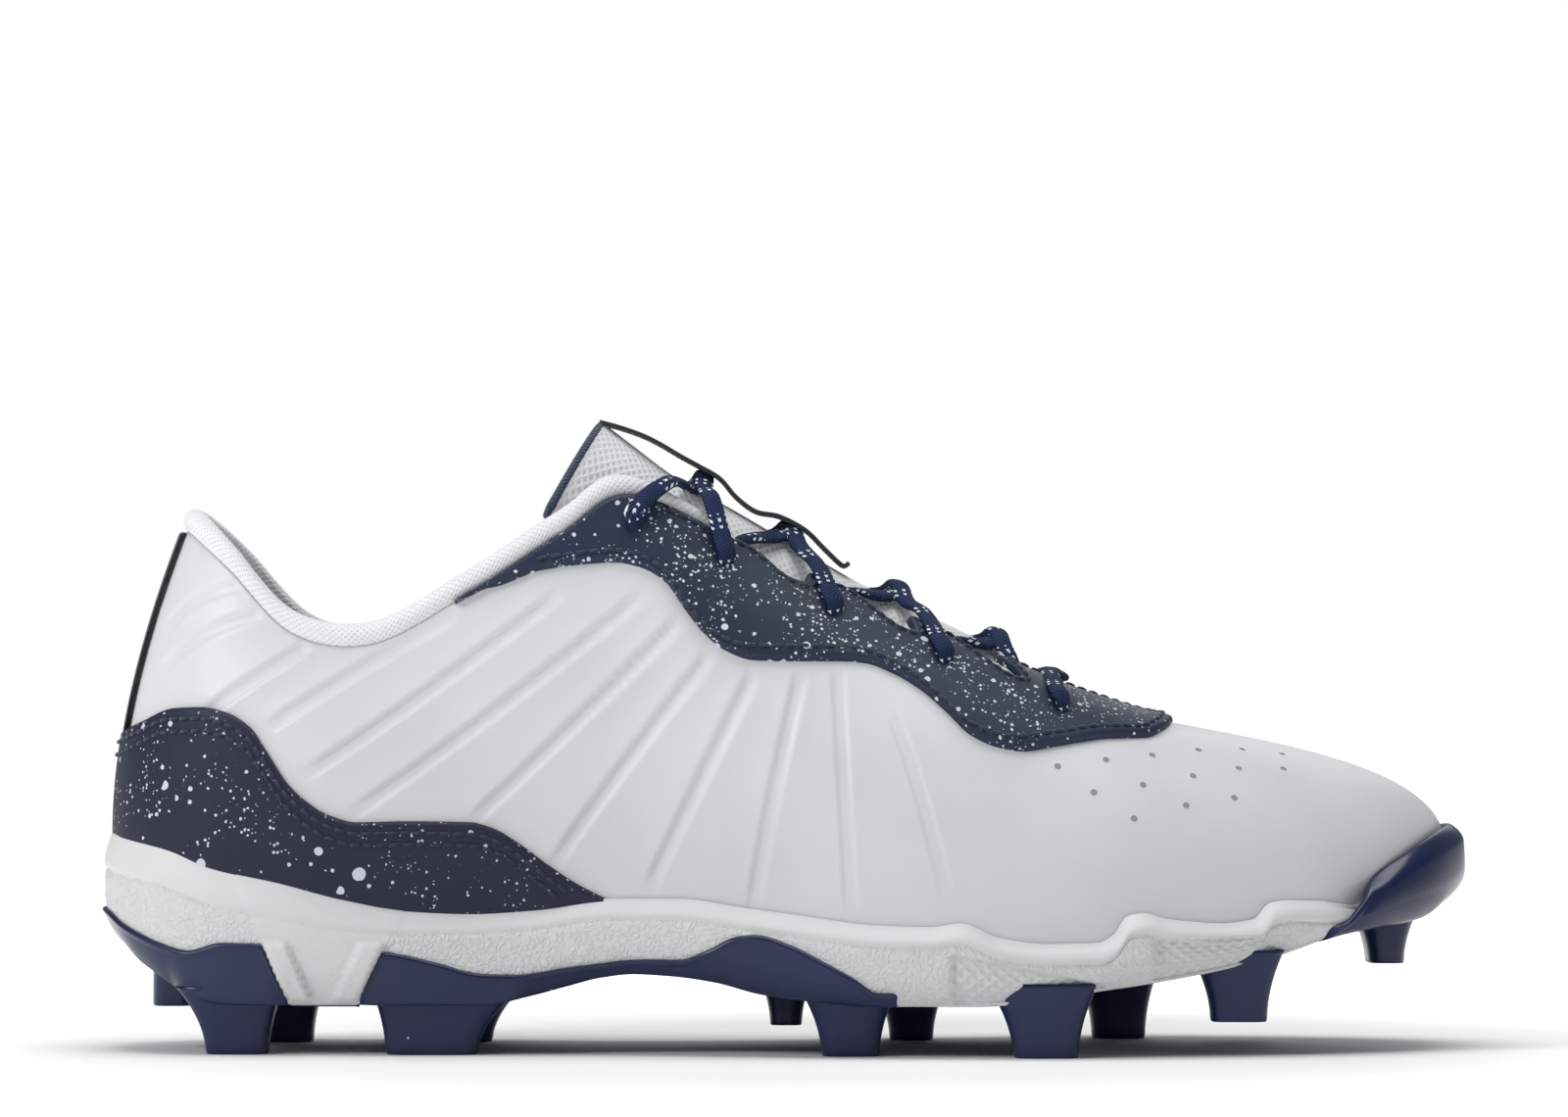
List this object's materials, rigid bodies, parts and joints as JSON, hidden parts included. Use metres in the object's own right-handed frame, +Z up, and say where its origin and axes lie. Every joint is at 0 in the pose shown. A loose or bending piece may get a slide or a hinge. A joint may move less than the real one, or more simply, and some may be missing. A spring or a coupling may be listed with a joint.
{
  "type": "baseball cleat",
  "caption": "Low-cut moulded-stud cleat for the right foot, with pleated synthetic upper, speckled eyestay and heel overlays, criss-cross lace, foam midsole and rubber outsole.",
  "frame": {"origin": "middle of the shoe's length and width at the height of the floor under its studs", "axes": "+X towards the toe, +Y towards the medial side, +Z up from the floor"},
  "size_m": [0.3004, 0.1025, 0.1395],
  "materials": {
    "outsole": "satin moulded",
    "midsole": "textured foam",
    "insole": "knitted",
    "upper": "pleated synthetic",
    "eyestay": "matte with white specks",
    "heel_counter": "matte with white specks",
    "heel_strip": "webbing",
    "collar": "padded mesh",
    "tongue": "padded mesh",
    "tongue_strap": "webbing",
    "lace": "woven with white flecks"
  },
  "bodies": {
    "root": {"outsole": "outsole", "midsole": "midsole", "insole": "insole", "upper": "upper", "eyestay": "eyestay", "heel_counter": "heel_counter", "heel_strip": "heel_strip", "collar": "collar", "tongue": "tongue", "tongue_strap": "tongue_strap", "lace_front_bar": "lace", "lace_crossing_1": "lace", "lace_crossing_2": "lace", "lace_crossing_3": "lace", "lace_crossing_4": "lace"}
  },
  "joints": []
}
